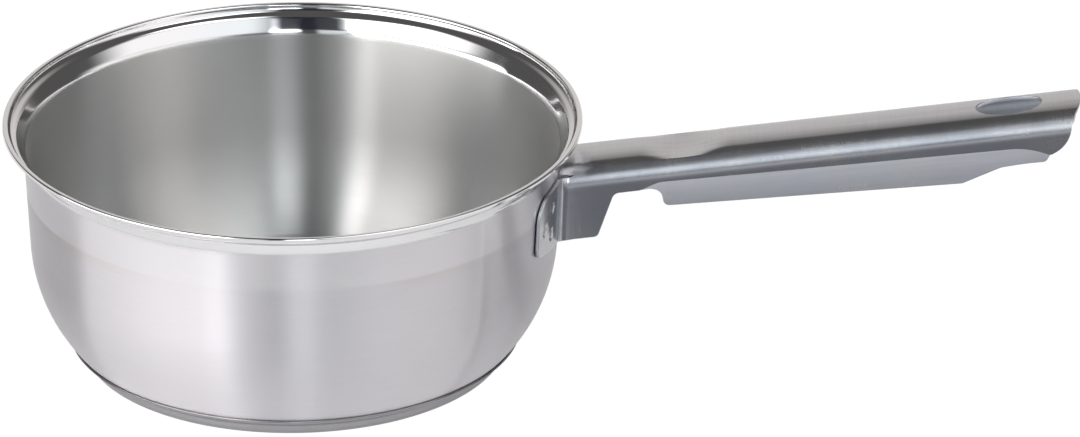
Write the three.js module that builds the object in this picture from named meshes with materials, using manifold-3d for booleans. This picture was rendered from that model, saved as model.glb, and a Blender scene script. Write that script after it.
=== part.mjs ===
// Stainless steel saucepan: a drawn vessel with a curled pouring rim, an encapsulated heat-spreading base,
// and a long folded sheet handle that is open underneath and spot-welded to the wall by two ears.
// Units are millimetres. Z is up, and X runs from the axis of the pan along the handle.
// The origin is the centre of the underside of the base.
import * as THREE from 'three';
import { mergeVertices } from 'three/addons/utils/BufferGeometryUtils.js';
import Module from 'manifold-3d';

const wasm = await Module();
wasm.setup();

// Vessel
const panInsideRadius = 90;
const wallTopHeight = 75.9;
const panSheet = 0.8;
const wallLean = THREE.MathUtils.degToRad(2.9);
const bellyRadius = 55;
const bellySweep = THREE.MathUtils.degToRad(41);
const floorCornerRadius = 5.8;
const vesselUnderside = 5.3;

// Rim, going outward from the top of the wall
const flareWidth = 3.1;
const flareHeight = 4.9;
const lidSeatWidth = 2.4;
const lidSeatHeight = 1.2;
const lipStandWidth = 0.4;
const lipStandHeight = 2.2;
const lipCurlWidth = 1.9;
const lipCurlDrop = 1.3;
const flareBend = 1.2;
const lidSeatBend = 0.9;
const lipBend = 0.8;

// Encapsulated base
const capsuleSheet = 0.6;
const capsuleEdgeRadius = 2.2;
const capsuleStepRadius = 1.2;
const capsuleLipSweep = THREE.MathUtils.degToRad(24);
const coreInset = 0.5;

// Handle
const handleLength = 176.2;
const handleHalfWidth = 13.4;
const handleSheet = 1.2;
const handleTilt = THREE.MathUtils.degToRad(7.1);
const crestHeight = 71.7;
const crownAngle = THREE.MathUtils.degToRad(9);
const shoulderRadius = 7.4;
const foldAngle = THREE.MathUtils.degToRad(26);
const creaseDepthRoot = 8.5;
const creaseDepthTail = 10.6;
const creaseDepthTip = 14.5;
const bandDepthRoot = 19.9;
const bandDepthTail = 24.4;

// Thumb rest, where the crown is pressed flat and a little hollow
const thumbPlace = 41;
const thumbReach = 16;
const thumbDepth = 1.7;
const thumbHollow = 0.4;

// Skirt at the root and the rounded notch behind it
const skirtDepth = 26.1;
const skirtLength = 9.2;
const skirtCorner = 2.2;
const notchStart = 16.8;
const notchDepth = 10.9;
const notchCorner = 3;
const bandStart = 32.5;
const bandStartCorner = 7.4;

// Slanting tail and hanging hole
const tailPlanRadius = 30;
const tailNoseDepth = 1;
const tailSideRadius = 11.3;
const tailSideInset = 14.7;
const tailSideDepth = 3.5;
const tailSideStart = THREE.MathUtils.degToRad(5);
const tailSideEnd = THREE.MathUtils.degToRad(76);
const tailTipInset = 11.9;
const tailHookBack = 1.9;
const tailHookDrop = 3.2;
const tailHookRound = 2.2;
const tailCreaseRun = 13.5;
const tailCutLength = 43;
const tailBandRise = 5.5;
const tailBandRun = 13.8;
const hangHoleLength = 22.4;
const hangHoleWidth = 14;
const hangHoleInset = 24.3;

// Ears that hug the wall
const earReach = 36.2;
const earTop = 69.2;
const earLow = 48.6;
const earRootLow = 45.4;
const earBend = 2.6;
const earTuck = 0.1;
const earTopCorner = 8;
const earLowCorner = 4;

// Spot welds, placed by their share of the ear's reach and of the way from its low corner to its top
const weldRadius = 1.8;
const weldDish = 0.25;
const weldPlaceShares = [
  { name: 'upper', reach: 0.682, rise: 0.67 },
  { name: 'outer', reach: 0.851, rise: 0.408 },
  { name: 'lower', reach: 0.685, rise: 0.223 },
];

// Fits and fineness
const seatGap = 0.3;
const overrun = 10;
const mergeDistance = 1e-4;
const turnSteps = 64;
const arcSteps = 7;
const bendSteps = 3;
const rimBendSteps = 2;
const stationStep = 6;
const crownSteps = 2;
const shoulderSteps = 5;
const bandSteps = 2;
const weldSides = 16;

// Two-dimensional outlines
function arc(centre, radius, from, to, steps) {
  const points = [];
  for (let i = 0; i <= steps; i += 1) {
    const angle = from + ((to - from) * i) / steps;
    points.push(new THREE.Vector2(centre.x + radius * Math.cos(angle), centre.y + radius * Math.sin(angle)));
  }
  return points;
}

// A line through the corners, each rounded by its own radius where it has one. A radius is held to what the
// shorter of its two sides has room for.
function roundedLine(corners, closed = false, steps = bendSteps) {
  const points = [];
  corners.forEach(([x, y, radius], index) => {
    const corner = new THREE.Vector2(x, y);
    const isEnd = !closed && (index === 0 || index === corners.length - 1);
    if (!radius || isEnd) {
      points.push(corner);
      return;
    }
    const before = corners[(index + corners.length - 1) % corners.length];
    const after = corners[(index + 1) % corners.length];
    const back = new THREE.Vector2(before[0], before[1]).sub(corner);
    const ahead = new THREE.Vector2(after[0], after[1]).sub(corner);
    const room = Math.min(back.length(), ahead.length()) / 2;
    back.normalize();
    ahead.normalize();
    const half = Math.acos(THREE.MathUtils.clamp(back.dot(ahead), -1, 1)) / 2;
    const fillet = Math.min(radius, room * Math.tan(half));
    const middle = back.clone().add(ahead).normalize();
    const centre = corner.clone().addScaledVector(middle, fillet / Math.sin(half));
    const start = corner.clone().addScaledVector(back, fillet / Math.tan(half)).sub(centre);
    const turn = Math.sign(back.cross(ahead)) * (Math.PI - 2 * half);
    const from = start.angle();
    points.push(...arc(centre, fillet, from, from - turn, steps));
  });
  return points;
}

// The line at an even distance to the left of another, with mitred corners.
function offsetLine(line, distance) {
  return line.map((point, index) => {
    const before = line[Math.max(index - 1, 0)];
    const after = line[Math.min(index + 1, line.length - 1)];
    const into = (index === 0 ? after.clone().sub(point) : point.clone().sub(before)).normalize();
    const out = (index === line.length - 1 ? into.clone() : after.clone().sub(point)).normalize();
    const normal = new THREE.Vector2(-into.y - out.y, into.x + out.x).normalize();
    const stretch = 1 / (normal.x * -into.y + normal.y * into.x);
    return point.clone().addScaledVector(normal, distance * stretch);
  });
}

// Closed bodies, with their faces pointing out
function signedVolume(positions, index) {
  const [a, b, c] = [new THREE.Vector3(), new THREE.Vector3(), new THREE.Vector3()];
  let volume = 0;
  for (let i = 0; i < index.length; i += 3) {
    a.fromBufferAttribute(positions, index[i]);
    b.fromBufferAttribute(positions, index[i + 1]);
    c.fromBufferAttribute(positions, index[i + 2]);
    volume += a.dot(b.cross(c)) / 6;
  }
  return volume;
}

function closedBody(geometry) {
  const bare = geometry.clone();
  bare.deleteAttribute('normal');
  bare.deleteAttribute('uv');
  const merged = mergeVertices(bare, mergeDistance);
  const kept = [];
  const index = merged.getIndex().array;
  for (let i = 0; i < index.length; i += 3) {
    const [a, b, c] = [index[i], index[i + 1], index[i + 2]];
    if (a !== b && b !== c && c !== a) {
      kept.push(a, b, c);
    }
  }
  if (signedVolume(merged.getAttribute('position'), kept) < 0) {
    kept.reverse();
  }
  merged.setIndex(kept);
  return merged;
}

function toManifold(geometry) {
  const body = closedBody(geometry);
  return new wasm.Manifold(new wasm.Mesh({
    numProp: 3,
    vertProperties: new Float32Array(body.getAttribute('position').array),
    triVerts: new Uint32Array(body.getIndex().array),
  }));
}

function fromManifold(solid) {
  const mesh = solid.getMesh();
  const geometry = new THREE.BufferGeometry();
  geometry.setAttribute('position', new THREE.BufferAttribute(mesh.vertProperties, 3));
  geometry.setIndex(new THREE.BufferAttribute(mesh.triVerts, 1));
  geometry.computeVertexNormals();
  return geometry;
}

// A profile in radius and height, turned about the vertical axis.
function turned(profile) {
  const geometry = new THREE.LatheGeometry(profile, turnSteps);
  geometry.rotateX(Math.PI / 2);
  return closedBody(geometry);
}

// Rings of points, skinned one to the next and closed at both ends. Each ring runs out along one face of a
// sheet and back along the other, so the ends close as strips.
function skinned(rings) {
  const count = rings[0].length;
  const positions = rings.flat().flatMap((point) => [point.x, point.y, point.z]);
  const index = [];
  for (let ring = 0; ring < rings.length - 1; ring += 1) {
    for (let i = 0; i < count; i += 1) {
      const a = ring * count + i;
      const b = ring * count + ((i + 1) % count);
      index.push(a, b + count, b, a, a + count, b + count);
    }
  }
  const last = (rings.length - 1) * count;
  for (let i = 0; i < count / 2 - 1; i += 1) {
    const [a, b, c, d] = [i, i + 1, count - 2 - i, count - 1 - i];
    index.push(a, b, c, a, c, d);
    index.push(last + a, last + c, last + b, last + a, last + d, last + c);
  }
  const geometry = new THREE.BufferGeometry();
  geometry.setAttribute('position', new THREE.Float32BufferAttribute(positions, 3));
  geometry.setIndex(index);
  return geometry;
}

// Vessel profile
const bellyStartHeight = vesselUnderside
  + bellyRadius * (Math.sin(bellySweep) - Math.sin(wallLean))
  + floorCornerRadius * (1 - Math.sin(bellySweep));
const insideRadiusAt = (height) => panInsideRadius - (wallTopHeight - height) * Math.tan(wallLean);
const outsideRadiusAt = (height) => insideRadiusAt(height) + panSheet / Math.cos(wallLean);
const bellyCentre = new THREE.Vector2(
  outsideRadiusAt(bellyStartHeight) - bellyRadius * Math.cos(wallLean),
  bellyStartHeight + bellyRadius * Math.sin(wallLean),
);
const cornerCentre = new THREE.Vector2(
  bellyCentre.x + (bellyRadius - floorCornerRadius) * Math.cos(bellySweep),
  bellyCentre.y - (bellyRadius - floorCornerRadius) * Math.sin(bellySweep),
);

// The outside of the wall from the axis outward and up, for a sheet face that lies inside it by some depth.
function vesselFace(inward) {
  const underside = new THREE.Vector2(0, vesselUnderside + inward);
  const corner = arc(cornerCentre, floorCornerRadius - inward, -Math.PI / 2, -bellySweep, bendSteps);
  const belly = arc(bellyCentre, bellyRadius - inward, -bellySweep, -wallLean, arcSteps).slice(1);
  return [underside, ...corner, ...belly];
}

function vesselProfile() {
  const rim = roundedLine([
    [insideRadiusAt(bellyStartHeight), bellyStartHeight],
    [panInsideRadius, wallTopHeight, flareBend],
    [panInsideRadius + flareWidth, wallTopHeight + flareHeight, lidSeatBend],
    [panInsideRadius + flareWidth + lidSeatWidth, wallTopHeight + flareHeight + lidSeatHeight, lidSeatBend],
    [
      panInsideRadius + flareWidth + lidSeatWidth + lipStandWidth,
      wallTopHeight + flareHeight + lidSeatHeight + lipStandHeight,
      lipBend,
    ],
    [
      panInsideRadius + flareWidth + lidSeatWidth + lipStandWidth + lipCurlWidth,
      wallTopHeight + flareHeight + lidSeatHeight + lipStandHeight,
      lipBend,
    ],
    [
      panInsideRadius + flareWidth + lidSeatWidth + lipStandWidth + lipCurlWidth,
      wallTopHeight + flareHeight + lidSeatHeight + lipStandHeight - lipCurlDrop,
    ],
  ], false, rimBendSteps).slice(1);
  const inside = [...vesselFace(panSheet), ...rim];
  const outside = [...vesselFace(0), ...offsetLine(rim, -panSheet)];
  return [...outside, ...inside.reverse()];
}

// Base
const coreRadius = cornerCentre.x - coreInset;
const capsuleWallRadius = coreRadius + seatGap + capsuleSheet;
const capsuleLipRadius = floorCornerRadius + seatGap + capsuleSheet;

function capsuleProfile() {
  const lip = arc(
    cornerCentre,
    capsuleLipRadius,
    -bellySweep - capsuleLipSweep,
    -bellySweep,
    bendSteps,
  );
  const outside = [
    new THREE.Vector2(0, 0),
    ...arc(
      new THREE.Vector2(capsuleWallRadius - capsuleEdgeRadius, capsuleEdgeRadius),
      capsuleEdgeRadius,
      -Math.PI / 2,
      0,
      bendSteps,
    ),
    new THREE.Vector2(capsuleWallRadius, lip[0].y - capsuleStepRadius),
    ...lip,
  ];
  const inside = offsetLine(outside, capsuleSheet);
  inside[0].x = 0;
  return [...outside, ...inside.reverse()];
}

function coreProfile() {
  return [
    new THREE.Vector2(0, capsuleSheet),
    new THREE.Vector2(coreRadius - capsuleEdgeRadius, capsuleSheet),
    new THREE.Vector2(coreRadius, capsuleSheet + capsuleEdgeRadius),
    new THREE.Vector2(coreRadius, vesselUnderside),
    new THREE.Vector2(0, vesselUnderside),
  ];
}

// Handle section, in the handle's own frame: X along it from the wall, Y across it, Z up from its crest.
const tailTip = handleLength - tailTipInset;
const tailCreaseStart = tailTip - tailCreaseRun;
const creaseStart = bandStart - bandStartCorner;
const creaseSettled = bandStart;

function mixed(from, to, place, start, end) {
  return from + (to - from) * THREE.MathUtils.clamp((place - start) / (end - start), 0, 1);
}

function creaseDepthAt(place) {
  if (place < creaseSettled) {
    return mixed(notchDepth, creaseDepthRoot, place, creaseStart, creaseSettled);
  }
  const line = mixed(creaseDepthRoot, creaseDepthTail, place, creaseSettled, tailCreaseStart);
  const share = THREE.MathUtils.clamp((place - tailCreaseStart) / tailCreaseRun, 0, 1);
  return line + (creaseDepthTip - creaseDepthTail) * share * share;
}

function bottomDepthAt(place) {
  if (place < creaseStart) {
    return skirtDepth;
  }
  return mixed(bandDepthRoot, bandDepthTail, place, bandStart, handleLength - tailCutLength);
}

function foldAt(place) {
  return mixed(0, foldAngle, place, notchStart, creaseStart);
}

// How far a point of the crown goes down to the pressed floor of the thumb rest.
function thumbPress(place, point) {
  const along = THREE.MathUtils.clamp(Math.abs(place - thumbPlace) / thumbReach, 0, 1);
  const floor = -thumbDepth - thumbHollow * (1 - (point.x / handleHalfWidth) ** 2);
  return Math.max(point.y - floor, 0) * (1 - along * along) ** 2;
}

// One half of the outer face, from the crest down to the free edge.
const crownEdge = handleHalfWidth - shoulderRadius * (1 - Math.sin(crownAngle));
const crownRadius = crownEdge / Math.sin(crownAngle);
const shoulderCentre = new THREE.Vector2(
  handleHalfWidth - shoulderRadius,
  crownRadius * (Math.cos(crownAngle) - 1) - shoulderRadius * Math.cos(crownAngle),
);

function halfSection(place) {
  const crownCentre = new THREE.Vector2(0, -crownRadius);
  const crown = arc(crownCentre, crownRadius, Math.PI / 2, Math.PI / 2 - crownAngle, crownSteps);
  const shoulder = arc(shoulderCentre, shoulderRadius, Math.PI / 2 - crownAngle, 0, shoulderSteps).slice(1);
  const points = [...crown, ...shoulder];
  points.forEach((point) => {
    point.y -= thumbPress(place, point);
  });
  const crease = creaseDepthAt(place);
  points.push(new THREE.Vector2(handleHalfWidth, -crease));
  const drop = bottomDepthAt(place) - crease;
  for (let i = 1; i <= bandSteps; i += 1) {
    const share = i / bandSteps;
    points.push(new THREE.Vector2(
      handleHalfWidth - drop * share * Math.tan(foldAt(place)),
      -crease - drop * share,
    ));
  }
  return points;
}

// Both faces of the sheet from edge to edge.
function sheetFaces(place) {
  const half = halfSection(place);
  const far = half.slice(1).reverse().map((point) => new THREE.Vector2(-point.x, point.y));
  const outer = [...far, ...half];
  return { outer, inner: offsetLine(outer, -handleSheet) };
}

function sectionRing(place) {
  const { outer, inner } = sheetFaces(place);
  return [...outer, ...inner.reverse()].map((point) => new THREE.Vector3(place, point.x, point.y));
}

function stations() {
  const keys = [
    -overrun,
    skirtLength,
    notchStart,
    creaseStart,
    creaseSettled,
    handleLength - tailCutLength,
    tailCreaseStart,
    tailTip,
    handleLength + overrun,
  ];
  const places = [keys[0]];
  for (let i = 1; i < keys.length; i += 1) {
    const steps = Math.ceil((keys[i] - keys[i - 1]) / stationStep);
    for (let step = 1; step <= steps; step += 1) {
      places.push(keys[i - 1] + ((keys[i] - keys[i - 1]) * step) / steps);
    }
  }
  return places;
}

// Cutters: one across the handle, from an outline seen from its side, and one down through it, from an
// outline seen from above.
function sidePrism(outline) {
  const width = 2 * (handleHalfWidth + overrun);
  const geometry = new THREE.ExtrudeGeometry(new THREE.Shape(outline), { depth: width, bevelEnabled: false });
  geometry.translate(0, 0, -width / 2);
  geometry.rotateX(Math.PI / 2);
  return geometry;
}

function planPrism(outline, low, high) {
  const depth = high - low;
  const geometry = new THREE.ExtrudeGeometry(new THREE.Shape(outline), { depth, bevelEnabled: false });
  geometry.translate(0, 0, low);
  return geometry;
}

function notchOutline() {
  const below = -skirtDepth - overrun;
  return roundedLine([
    [skirtLength - skirtCorner, below],
    [skirtLength - skirtCorner, -skirtDepth],
    [skirtLength, -skirtDepth, skirtCorner],
    [notchStart, -notchDepth, notchCorner],
    [bandStart, -notchDepth, bandStartCorner],
    [bandStart, below],
  ], true);
}

function tailOutline() {
  const centre = new THREE.Vector2(handleLength - tailSideInset, -tailSideDepth);
  const side = arc(centre, tailSideRadius, -tailSideStart, -tailSideEnd, arcSteps);
  const below = -skirtDepth - overrun;
  const beyond = handleLength + 2 * overrun;
  return roundedLine([
    [handleLength, overrun],
    [handleLength, -tailNoseDepth],
    ...side.map((point) => [point.x, point.y]),
    [tailTip - tailHookBack, -creaseDepthTip - tailHookDrop, tailHookRound],
    [handleLength - tailCutLength + tailBandRun, -bandDepthTail + tailBandRise, tailBandRise],
    [handleLength - tailCutLength, -bandDepthTail],
    [handleLength - tailCutLength, below],
    [beyond, below],
    [beyond, overrun],
  ], true);
}

function tailPlanOutline() {
  const side = handleHalfWidth + seatGap;
  const lean = Math.asin(side / tailPlanRadius);
  const centre = new THREE.Vector2(handleLength - tailPlanRadius, 0);
  const nose = arc(centre, tailPlanRadius, -lean, lean, arcSteps);
  const beyond = handleLength + 2 * overrun;
  return [
    new THREE.Vector2(beyond, -side),
    new THREE.Vector2(beyond, side),
    ...nose.reverse(),
  ];
}

function hangHoleOutline() {
  const outline = new THREE.Path();
  outline.absellipse(handleLength - hangHoleInset, 0, hangHoleLength / 2, hangHoleWidth / 2, 0, 2 * Math.PI);
  return outline.getPoints(4 * bendSteps).slice(0, -1);
}

// Ears, in the pan's frame
const wallSeatAt = (height) => outsideRadiusAt(height) + seatGap / Math.cos(wallLean);

// Height of a line along the handle that runs at some depth below its crest.
const rootRadius = outsideRadiusAt(crestHeight);

function levelAt(x, depth) {
  return crestHeight + (x - rootRadius) * Math.tan(handleTilt) - depth / Math.cos(handleTilt);
}

// One face of an ear at the depth of a point of the folded side, from its root tucked into that side's sheet,
// round the bend and along the wall.
function earFace(point, partner, bend, sheet) {
  const depth = -point.y;
  const radius = wallSeatAt(levelAt(rootRadius, depth)) + sheet;
  const centre = new THREE.Vector2(Math.sqrt((radius + bend) ** 2 - (point.x + bend) ** 2), point.x + bend);
  const reach = Math.asin((earReach + overrun) / radius);
  const height = levelAt(centre.x, depth);
  const root = point.clone().lerp(partner, earTuck);
  const plan = [
    ...arc(centre, bend, 1.5 * Math.PI, centre.angle() + Math.PI, bendSteps),
    ...arc(new THREE.Vector2(0, 0), radius, centre.angle(), reach, bendSteps).slice(1),
  ];
  return [
    new THREE.Vector3(centre.x + bend, root.x, levelAt(centre.x + bend, -root.y)),
    ...plan.map((spot) => new THREE.Vector3(spot.x, spot.y, height)),
  ];
}

// Pairs of points on the two faces of the folded side, from the shoulder down to below the ears.
function earLevels() {
  const { outer, inner } = sheetFaces(0);
  const crest = (outer.length - 1) / 2;
  const first = crest + crownSteps + 1;
  const levels = [];
  for (let i = first; i < first + shoulderSteps; i += 1) {
    levels.push([outer[i], inner[i]]);
  }
  const depth = skirtDepth + overrun;
  levels.push([
    new THREE.Vector2(handleHalfWidth, -depth),
    new THREE.Vector2(handleHalfWidth - handleSheet, -depth),
  ]);
  return levels;
}

function earSheet() {
  return skinned(earLevels().map(([outer, inner]) => [
    ...earFace(outer, inner, earBend, handleSheet),
    ...earFace(inner, outer, outer.x + earBend - inner.x, 0).reverse(),
  ]));
}

// The ear's outline seen along the handle, extruded through the sheet.
function earShape() {
  const start = shoulderCentre.x;
  const outline = roundedLine([
    [start, earRootLow],
    [handleHalfWidth, earRootLow],
    [earReach, earLow, earLowCorner],
    [earReach, earTop, earTopCorner],
    [start, earTop],
  ], true);
  const depth = 4 * overrun;
  const geometry = new THREE.ExtrudeGeometry(new THREE.Shape(outline), { depth, bevelEnabled: false });
  geometry.rotateX(Math.PI / 2);
  geometry.rotateZ(Math.PI / 2);
  geometry.translate(panInsideRadius - 2 * overrun, 0, 0);
  return geometry;
}

// Everything inside the seat of the wall, as a solid of revolution.
function wallSeat() {
  const low = earRootLow - overrun;
  const high = wallTopHeight + overrun;
  return turned([
    new THREE.Vector2(0, low),
    new THREE.Vector2(wallSeatAt(low), low),
    new THREE.Vector2(wallSeatAt(high), high),
    new THREE.Vector2(0, high),
  ]);
}

// The part of the folded sides that gives way to the ears' bends, with a slit between an ear and the crown.
function bendRelief() {
  const levels = earLevels();
  const [high, low] = [levels[0], levels.at(-1)].map((pair) => earFace(...pair, earBend, handleSheet)[0]);
  return sidePrism([
    new THREE.Vector2(0, low.z),
    new THREE.Vector2(low.x - earBend / 2, low.z),
    new THREE.Vector2(high.x - earBend / 2, earTop + seatGap),
    new THREE.Vector2(0, earTop + seatGap),
  ]);
}

// Spot welds
function weldPlace(weld, side) {
  const height = earLow + weld.rise * (earTop - earLow);
  const radius = wallSeatAt(height);
  const angle = side * Math.asin((weld.reach * earReach) / radius);
  return { radius, angle, height };
}

function weldHole(place) {
  const holeRadius = weldRadius + seatGap;
  const geometry = new THREE.CylinderGeometry(holeRadius, holeRadius, 2 * overrun, weldSides);
  geometry.rotateZ(Math.PI / 2);
  geometry.translate(place.radius, 0, 0);
  geometry.rotateZ(place.angle);
  geometry.translate(0, 0, place.height);
  return geometry;
}

const welds = [-1, 1].flatMap((side) => weldPlaceShares.map((weld) => ({
  name: `spot_weld_${side < 0 ? 'right' : 'left'}_${weld.name}`,
  ...weldPlace(weld, side),
})));

const handleFrame = new THREE.Matrix4()
  .makeTranslation(rootRadius, 0, crestHeight)
  .multiply(new THREE.Matrix4().makeRotationY(-handleTilt));

function handleBody() {
  const toHandle = handleFrame.clone().invert();
  let solid = toManifold(skinned(stations().map(sectionRing)));
  solid = solid.subtract(toManifold(sidePrism(notchOutline())));
  solid = solid.subtract(toManifold(sidePrism(tailOutline())));
  solid = solid.subtract(toManifold(planPrism(tailPlanOutline(), -skirtDepth - overrun, overrun)));
  solid = solid.subtract(toManifold(planPrism(hangHoleOutline(), -notchDepth, overrun)));
  solid = solid.subtract(toManifold(bendRelief().applyMatrix4(toHandle)));
  solid = solid.subtract(toManifold(wallSeat().applyMatrix4(toHandle)));
  const ear = toManifold(earSheet()).intersect(toManifold(earShape()));
  const earGeometry = fromManifold(ear);
  const mirrored = earGeometry.clone().scale(1, -1, 1);
  solid = solid.add(toManifold(earGeometry.applyMatrix4(toHandle)));
  solid = solid.add(toManifold(mirrored.applyMatrix4(toHandle)));
  for (const place of welds) {
    solid = solid.subtract(toManifold(weldHole(place).applyMatrix4(toHandle)));
  }
  return fromManifold(solid);
}

// Materials
const satinSteel = new THREE.MeshStandardMaterial({ color: 0xc6c5c9, roughness: 0.32, metalness: 1 });
const handleSteel = new THREE.MeshStandardMaterial({ color: 0xb4b3b8, roughness: 0.36, metalness: 1 });
const capsuleSteel = new THREE.MeshStandardMaterial({ color: 0xbcbbc0, roughness: 0.4, metalness: 1 });
const aluminium = new THREE.MeshStandardMaterial({ color: 0xc9ccd0, roughness: 0.5, metalness: 1 });
const weldSteel = new THREE.MeshStandardMaterial({ color: 0xa9a8ad, roughness: 0.45, metalness: 1 });

// Assembly
function part(name, geometry, material) {
  const mesh = new THREE.Mesh(geometry, material);
  mesh.name = name;
  return mesh;
}

const saucepan = new THREE.Group();
saucepan.add(part('pan_body', turned(vesselProfile()), satinSteel));
saucepan.add(part('base_capsule', turned(capsuleProfile()), capsuleSteel));
saucepan.add(part('heat_core', turned(coreProfile()), aluminium));

const handle = part('handle', handleBody(), handleSteel);
handle.applyMatrix4(handleFrame);
saucepan.add(handle);

const weldLength = handleSheet - weldDish;
for (const place of welds) {
  const disc = new THREE.CylinderGeometry(weldRadius, weldRadius, weldLength, weldSides);
  disc.rotateZ(Math.PI / 2);
  const nugget = part(place.name, disc, weldSteel);
  nugget.position.set(
    (place.radius + weldLength / 2) * Math.cos(place.angle),
    (place.radius + weldLength / 2) * Math.sin(place.angle),
    place.height,
  );
  nugget.rotation.z = place.angle;
  saucepan.add(nugget);
}

export default saucepan;
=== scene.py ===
"""A stainless steel saucepan in a plain pale studio. Metres, +Z up, +X along the handle."""

import math

import bpy
import numpy as np
from mathutils import Matrix, Vector
from mathutils.geometry import delaunay_2d_cdt


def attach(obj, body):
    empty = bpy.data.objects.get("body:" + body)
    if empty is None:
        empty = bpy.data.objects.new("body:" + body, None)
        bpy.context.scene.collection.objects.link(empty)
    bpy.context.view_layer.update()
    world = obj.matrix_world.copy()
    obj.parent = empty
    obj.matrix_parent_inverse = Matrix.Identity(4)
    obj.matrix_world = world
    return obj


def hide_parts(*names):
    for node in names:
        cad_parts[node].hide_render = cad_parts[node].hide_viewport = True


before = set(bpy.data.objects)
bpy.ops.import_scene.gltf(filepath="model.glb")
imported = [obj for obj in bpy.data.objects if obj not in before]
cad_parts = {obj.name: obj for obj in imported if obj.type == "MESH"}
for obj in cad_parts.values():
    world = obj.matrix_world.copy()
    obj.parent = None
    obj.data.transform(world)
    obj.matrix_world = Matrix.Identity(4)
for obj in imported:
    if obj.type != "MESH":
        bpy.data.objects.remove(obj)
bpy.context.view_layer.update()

bl_info = {
    "name": "Saucepan",
    "version": (1, 0, 0),
    "blender": (4, 5, 0),
    "location": "3D View > Sidebar > Saucepan",
    "description": "Steel saucepan with a curled rim, a layered base and a folded sheet handle",
    "category": "Object",
}

MM = 0.001
TURN = 2 * math.pi
STEP = 1.5 * MM  # longest step of a turned profile
WALL_AT_CREST = 0.0906  # the pan's outer radius at the height of the handle's crest

# Grids of the sheet's patches: steps along and down, and room left before an outline.
CHANNEL_STEP, CHANNEL_ROOM = 1.4 * MM, 0.22 * MM
CHANNEL_ROWS = (8, 13, 7, 6, 9)  # of the crown, the shoulder, the side, the fold and the band
EAR_STEP, EAR_DROP, EAR_ROOM = 0.55 * MM, 0.8 * MM, 0.3 * MM

# Welds of an ear, by the share of its reach and of its height. A weld's mark is dished, and its
# middle is a low cap, given by the share of its radius and its height in millimetres.
WELDS = {"upper": (0.682, 0.67), "outer": (0.851, 0.408), "lower": (0.685, 0.223)}
WELD_CAP = ((1.0, -0.06), (0.93, 0.0), (0.8, 0.02), (0.5, -0.03), (0, -0.05))
WELD_CAP_SHARE, WELD_CAP_DEPTH, WELD_CAP_LIFT = 0.72, 0.25 * MM, 0.12 * MM
WELD_MARK_SHARE, WELD_MARK_FLAT = 1.35, 0.55  # the mark's edge, and its even middle


def length(name, description, value):
    """A length in metres, given here in millimetres."""
    return bpy.props.FloatProperty(
        name=name, description=description, default=value * MM, unit="LENGTH", precision=5
    )


def angle(name, description, value):
    """An angle, given here in degrees."""
    return bpy.props.FloatProperty(
        name=name, description=description, default=math.radians(value), subtype="ANGLE"
    )


def amount(name, description, value):
    """A plain number."""
    return bpy.props.FloatProperty(name=name, description=description, default=value)


def colour(name, description, value):
    """A linear colour."""
    return bpy.props.FloatVectorProperty(
        name=name, description=description, default=value, subtype="COLOR", size=3
    )


class SAUCEPAN_PG_vessel(bpy.types.PropertyGroup):
    """Sizes of the drawn vessel and its rim."""

    inside_radius: length("Inside radius", "Clear radius at the top of the wall", 90)
    wall_top: length("Wall top", "Height where the wall ends and the flare begins", 75.9)
    sheet: length("Sheet", "Thickness of the vessel's steel", 0.8)
    lean: angle("Lean", "How far the wall leans outward", 2.9)
    belly_radius: length("Belly radius", "Radius of the curve below the wall", 55)
    belly_sweep: angle("Belly sweep", "Angle at which the belly meets the floor corner", 41)
    corner_radius: length("Corner radius", "Radius where the belly meets the floor", 5.8)
    underside: length("Underside", "Height of the vessel's underside over the base", 5.3)
    flare_width: length("Flare width", "How far the flare goes out", 3.1)
    flare_height: length("Flare height", "How far the flare goes up", 4.9)
    seat_width: length("Lid seat width", "Width of the lid seat", 2.4)
    seat_height: length("Lid seat height", "Rise of the lid seat", 1.2)
    stand_width: length("Lip stand width", "Lean of the upstanding lip", 0.4)
    stand_height: length("Lip stand height", "Height of the upstanding lip", 2.2)
    curl_width: length("Curl width", "Width of the curl", 1.9)
    curl_drop: length("Curl drop", "How far the curl comes down", 1.3)
    flare_bend: length("Flare bend", "Bend at the foot of the flare", 7)
    seat_bend: length("Seat bend", "Bends of the lid seat", 3)
    lip_bend: length("Lip bend", "Bends of the lip", 0.8)
    polish_height: length("Polish height", "Where the polished band under the rim ends", 61.6)


class SAUCEPAN_PG_base(bpy.types.PropertyGroup):
    """Sizes of the base capsule."""

    sheet: length("Sheet", "Thickness of the capsule's steel", 0.6)
    edge_radius: length("Edge radius", "Round of the bottom edge", 2.2)
    step_radius: length("Step radius", "Round of the step under the lip", 1.2)
    lip_sweep: angle("Lip sweep", "Part of the floor corner that the lip hugs", 24)
    core_inset: length("Core inset", "Core's radius short of the corner's centre", 0.5)
    gap: length("Gap", "Gap of the lip to the vessel", 0.3)


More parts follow.
